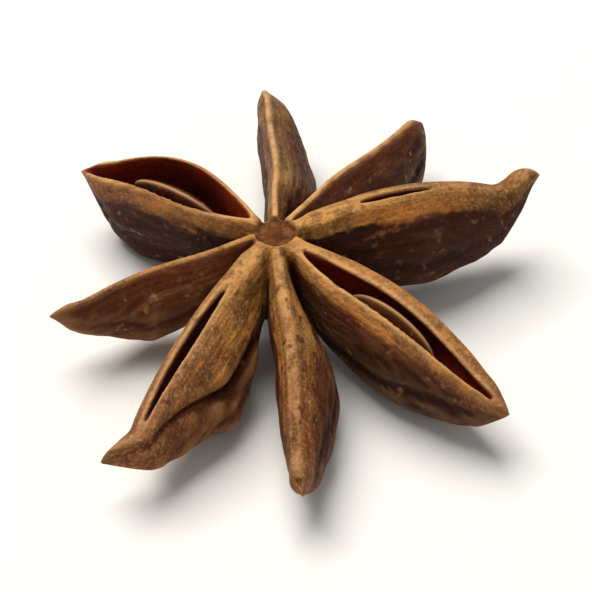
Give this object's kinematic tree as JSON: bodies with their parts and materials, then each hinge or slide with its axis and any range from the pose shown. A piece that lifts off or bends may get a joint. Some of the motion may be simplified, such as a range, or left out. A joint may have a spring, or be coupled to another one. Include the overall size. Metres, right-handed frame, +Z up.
{
  "type": "star anise pod",
  "caption": "Dried star anise: a star of boat-shaped woody carpels round a short column, seams upwards, with glossy seeds in the gaping ones.",
  "frame": {"origin": "on the surface that the pod lies on, under the middle of its box", "axes": "+Z up out of the open seams, -Y towards the shut carpel that lies nearest the viewer"},
  "size_m": [0.0302, 0.0344, 0.0082],
  "materials": {
    "husk": "dry woody rind, ochre on the lips and upper flanks, red-brown to purple-brown below, wrinkled on the back, with a smooth dark lining",
    "seed": "hard smooth seed coat, glossy brown, paler along its edge"
  },
  "bodies": {
    "root": {"husk": "husk", "seed_1": "seed", "seed_2": "seed"}
  },
  "joints": []
}
